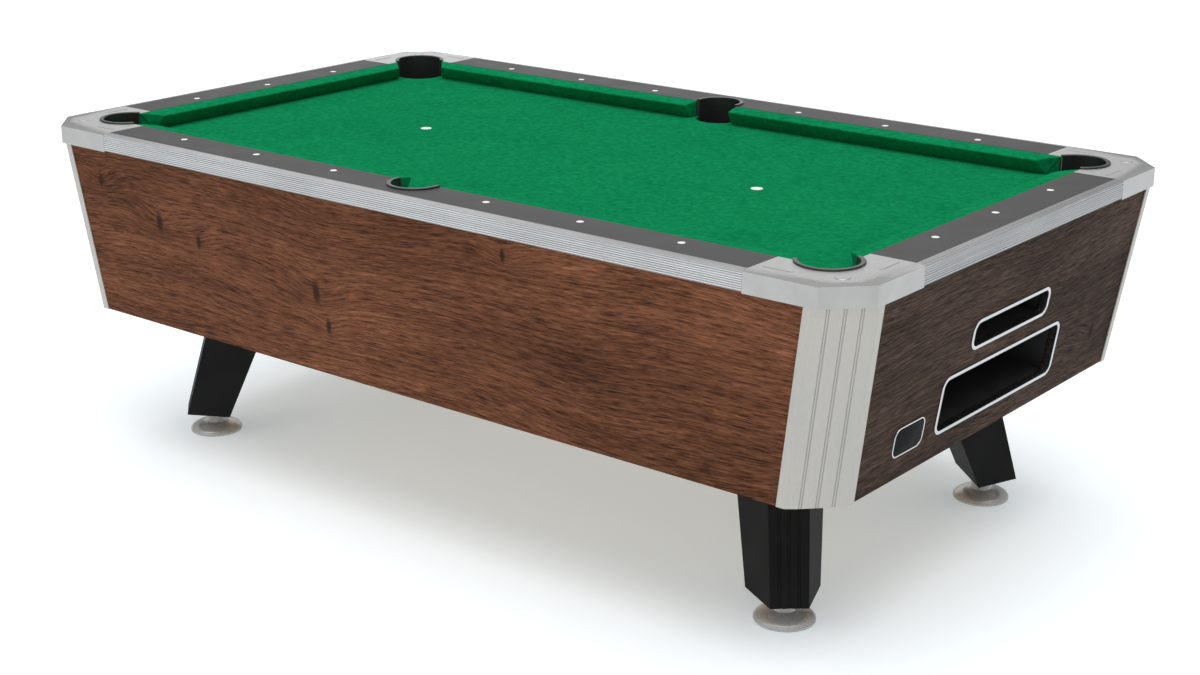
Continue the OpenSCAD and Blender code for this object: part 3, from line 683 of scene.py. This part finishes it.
def cushion_rings(start, end):
    """Rings of (along, in, z) for a cushion whose ends are cut from back to nose, as (back, nose) pairs."""
    profile = cushion_profile()

    def cut(pair, b):
        return pair[0] + (pair[1] - pair[0]) * (b - CUSHION_BACK) / (NOSE - CUSHION_BACK)

    def rounded_end(pair, inwards, steps=8):
        made = []
        for k in range(steps + 1):
            turn = math.pi / 2 * k / steps
            inset, shift = FACING_ROUND * (1 - math.sin(turn)), FACING_ROUND * (1 - math.cos(turn))
            made.append([(cut(pair, b) + inwards * shift, b, z) for b, z in drawn_in(profile, inset)])
        return made

    rings = rounded_end(start, 1)
    count = int(abs(end[1] - start[1]) / (22 * MM))
    for i in range(1, count):
        share = i / count
        ring = []
        for b, z in profile:
            along = (1 - share) * (cut(start, b) + FACING_ROUND) + share * (cut(end, b) - FACING_ROUND)
            lift = 0.12 * MM * (math.sin(37 * along) + math.sin(83 * along + 1.3))
            ring.append((along, b, z + lift * (b - CUSHION_BACK) / (NOSE - CUSHION_BACK)))
        rings.append(ring)
    return rings + rounded_end(end, -1)[::-1]


def add_cushion(node, rings, to_world):
    shape = loft([[to_world(along, b, z) for along, b, z in ring] for ring in rings])
    piece = add_mesh(f"{node}_covered", shape, MATERIALS["cushion"], crease=60)
    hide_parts(node)


def cushions():
    """Six rubber cushions under stretched cloth."""
    side_rings = cushion_rings((SIDE_BACK, SIDE_NOSE), (HALF_L - CORNER_BACK, HALF_L - CORNER_NOSE))
    end_rings = cushion_rings(
        (CORNER_BACK - HALF_W, CORNER_NOSE - HALF_W), (HALF_W - CORNER_BACK, HALF_W - CORNER_NOSE)
    )
    for end, e in ENDS.items():
        for side, s in SIDES.items():
            add_cushion(f"cushion_{side}_{end}", side_rings, lambda t, b, z: (e * t, s * (HALF_W - b), z))
        add_cushion(f"cushion_{end}", end_rings, lambda t, b, z: (e * (HALF_L - b), t, z))


# ---------- small parts ----------

# the sights' places in part.scad: in from the table's edge, the first one along a side and the steps from
# there, and the steps along an end
SIGHT_INSET = 83 * MM
SIGHT_FIRST, SIGHT_STEP, END_SIGHT_STEP = 228, 254, 245
SIGHT_RADIUS = 7.95 * MM


def sights():
    """Slightly domed round sights set in the rails."""
    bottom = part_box("sights")[0].z + 0.1 * MM
    along_side = [s * (SIGHT_FIRST + SIGHT_STEP * i) * MM for i in range(3) for s in (-1, 1)]
    places = [(x, s * (HALF_W - SIGHT_INSET)) for x in along_side for s in (-1, 1)]
    places += [(s * (HALF_L - SIGHT_INSET), i * END_SIGHT_STEP * MM) for i in (-1, 0, 1) for s in (-1, 1)]
    profile = []
    for k in range(8):
        a = k * math.pi / 16
        profile.append((SIGHT_RADIUS * math.sin(a), RAIL_TOP + 0.1 * MM + 0.4 * MM * math.cos(a)))
    profile += [(SIGHT_RADIUS, RAIL_TOP + 0.05 * MM), (SIGHT_RADIUS, bottom), (0, bottom)]
    piece = add_mesh("sight_discs", merged([lathe(profile, 48, place) for place in places]), MATERIALS["sight"])
    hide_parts("sights")


# the foot panel leans in by 64 mm over 421 mm of height, from 5 mm inside the castings at the slate's top
LEAN = 64 / 421
CABINET_HALF_L = HALF_L - 5 * MM


def on_foot_panel(y, up, out, z):
    """A point on the leaning foot panel: sideways, then up the slope and outwards from its height z."""
    tilt = math.atan(LEAN)
    x = CABINET_HALF_L - (SLATE_TOP - z) * LEAN
    return (x + up * math.sin(tilt) + out * math.cos(tilt), y, z + up * math.cos(tilt) - out * math.sin(tilt))


def badge():
    """A plain enamelled plate with a raised bright rim."""
    y, z = -360 * MM, 442 * MM
    width, height, radius = 116 * MM, 66 * MM, 20 * MM
    rim = 3.4  # millimetres

    def outline(inset, out):
        points = rounded_rect(width - 2 * inset, height - 2 * inset, radius - inset)
        return [on_foot_panel(y + px, py, out, z) for px, py in points]

    section = [(0, 0.1), (0, 1.7), (0.2, 2.05), (0.6, 2.2)]
    section += [(rim - inset, out) for inset, out in section[::-1]]
    rings = [outline(inset * MM, out * MM) for inset, out in section]
    n = len(rings[0])
    points = [p for r in rings for p in r]
    faces = []
    for r in range(len(rings)):
        s = (r + 1) % len(rings)
        faces += [(r * n + i, r * n + (i + 1) % n, s * n + (i + 1) % n, s * n + i) for i in range(n)]
    border = add_mesh("badge_rim", (points, faces), MATERIALS["bezel"])
    plate = [(rim + 0.05, 0.1), (rim + 0.05, 1.2), (rim + 0.8, 1.5)]
    field = add_mesh("badge_plate", loft([outline(inset * MM, out * MM) for inset, out in plate]), MATERIALS["badge"])
    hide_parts("badge")


def pads():
    """Levelling pads: a shallow dome, a neck and a socket for the stem."""
    # radii of the neck, the foot and the socket; heights of the rim, the dome, the neck's top and the socket's foot
    neck, radius, socket = 24 * MM, 66 * MM, 9.7 * MM
    rim, dome, top, socket_foot = 8 * MM, 24 * MM, 64 * MM, 30 * MM
    steps = 28
    profile = [(0, 0), (radius - 1.5 * MM, 0), (radius - 0.4 * MM, 0.4 * MM), (radius, 1.5 * MM)]
    profile += [(radius, rim - 3 * MM), (radius - 0.6 * MM, rim - 1.2 * MM)]
    for i in range(steps + 1):
        a = math.pi / 2 * i / steps
        height = rim + (dome - rim) * math.sin(a) * (0.55 + 0.45 * math.sin(a))
        profile.append((neck + 1 * MM + (radius - 3 * MM - neck) * math.cos(a), height))
    profile += [(neck, dome + 1.5 * MM), (neck, top - 1.5 * MM)]
    profile += [(neck - 0.4 * MM, top - 0.4 * MM), (neck - 1.5 * MM, top)]
    profile += [(socket, top), (socket, socket_foot), (0, socket_foot)]
    for corner in CORNERS:
        shape = lathe(profile, 96, node_centre(f"pad_{corner}"))
        piece = add_mesh(f"pad_{corner}_enamelled", shape, MATERIALS["pad"], body=f"pad_{corner}")
        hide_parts(f"pad_{corner}")


def thread(centre, low, high, radius=9.5 * MM, pitch=2.5 * MM, depth=1.3 * MM, per_pitch=6, around=24):
    """A screw's threaded surface as rings that each dip along the helix."""
    rows = int((high - low) / pitch * per_pitch)
    rings = []
    for row in range(rows + 1):
        z = low + (high - low) * row / rows
        ring = []
        for i in range(around):
            phase = ((z - low) / pitch - i / around) % 1
            r = radius - depth * max(0.0, 1 - abs(phase - 0.5) / 0.42) - (0.6 * MM if row in (0, rows) else 0)
            turn = 2 * math.pi * i / around
            ring.append((centre[0] + r * math.cos(turn), centre[1] + r * math.sin(turn), z))
        rings.append(ring)
    return loft(rings)


def stems():
    """The levelers' screws."""
    for corner in CORNERS:
        low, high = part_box(f"stem_{corner}")
        shape = thread(node_centre(f"stem_{corner}"), low.z, high.z)
        piece = add_mesh(f"stem_{corner}_threaded", shape, MATERIALS["stem"], body=f"stem_{corner}")
        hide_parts(f"stem_{corner}")


# ---------- floor, light and camera ----------

def studio_floor():
    p = Paint("studio_floor", Roughness=0.9, Specular_IOR_Level=0.05, Emission_Strength=0.3)
    p.shader.inputs["Emission Color"].default_value = (0.77, 0.92, 1, 1)
    cloud = p.noise(p.place, 2.0, 3)
    p.colour(p.ramp(cloud, (0.3, (0.895, 0.91, 0.93)), (0.7, (0.905, 0.92, 0.94))))
    # clear from below, so that the table's underside can be looked at
    one_sided = p.node("ShaderNodeMixShader", Fac=p.node("ShaderNodeNewGeometry").outputs["Backfacing"])
    p.feed(one_sided.inputs[1], p.shader.outputs[0])
    p.feed(one_sided.inputs[2], p.node("ShaderNodeBsdfTransparent").outputs[0])
    p.feed(next(n for n in p.tree.nodes if n.type == "OUTPUT_MATERIAL").inputs["Surface"], one_sided.outputs[0])
    reach = 40.0
    n = 8
    row = n + 1
    points = [(reach * (2 * i / n - 1), reach * (2 * j / n - 1), 0) for j in range(row) for i in range(row)]
    starts = [j * row + i for j in range(n) for i in range(n)]
    faces = [(k, k + 1, k + row + 1, k + row) for k in starts]
    mesh = bpy.data.meshes.new("floor")
    mesh.from_pydata(points, [], faces)
    mesh.materials.append(p.material)
    floor = bpy.data.objects.new("floor", mesh)
    floor.location.z = -0.2 * MM  # just clear of the pads' undersides
    bpy.context.scene.collection.objects.link(floor)


def studio_sky(horizon, zenith):
    """A plain sky that brightens from the horizon up."""
    world = bpy.data.worlds.new("studio")
    world.use_nodes = True
    tree = world.node_tree
    place = tree.nodes.new("ShaderNodeTexCoord").outputs["Generated"]
    split = tree.nodes.new("ShaderNodeSeparateXYZ")
    ramp = tree.nodes.new("ShaderNodeValToRGB")
    ramp.color_ramp.elements[0].color = (horizon,) * 3 + (1,)
    ramp.color_ramp.elements[1].color = (zenith,) * 3 + (1,)
    tree.links.new(place, split.inputs[0])
    tree.links.new(split.outputs["Z"], ramp.inputs[0])
    tree.links.new(ramp.outputs[0], next(n for n in tree.nodes if n.type == "BACKGROUND").inputs["Color"])
    bpy.context.scene.world = world


def add_light(name, kind, place, **settings):
    """A light that points at the middle of the table."""
    light = bpy.data.lights.new(name, kind)
    for key, value in settings.items():
        setattr(light, key, value)
    thing = bpy.data.objects.new(name, light)
    thing.location = place
    thing.rotation_euler = (Vector((0, 0, 0.5)) - thing.location).to_track_quat("-Z", "Y").to_euler()
    bpy.context.scene.collection.objects.link(thing)


def studio_camera():
    """The camera at the place and angle solved from the photograph's straight edges."""
    azimuth, elevation = math.radians(38.84), math.radians(18.16)
    camera = bpy.data.objects.new("camera", bpy.data.cameras.new("camera"))
    camera.data.lens = 59.31
    camera.data.sensor_width = 36
    camera.data.clip_end = 200
    camera.location = (2.929, -3.565, 1.838)
    back = Vector((
        math.sin(azimuth) * math.cos(elevation), -math.cos(azimuth) * math.cos(elevation), math.sin(elevation)
    ))
    camera.rotation_euler = (-back).to_track_quat("-Z", "Y").to_euler()
    bpy.context.scene.collection.objects.link(camera)
    bpy.context.scene.camera = camera


finish_cad_nodes()
bed_cloth()
bed_spots()
cushions()
sights()
badge()
pads()
stems()

studio_floor()
studio_sky(0.26, 0.60)
add_light("overhead", "SUN", (0.3, -0.4, 4), energy=1.75, angle=math.radians(60))
add_light("front", "AREA", (-1.5, -4.5, 2.6), energy=20, shape="RECTANGLE", size=3.5, size_y=2.0)
add_light("back", "AREA", (-3.4, 4.2, 2.2), energy=28, shape="RECTANGLE", size=5.0, size_y=2.6)
studio_camera()
bpy.context.scene.view_settings.view_transform = "Standard"
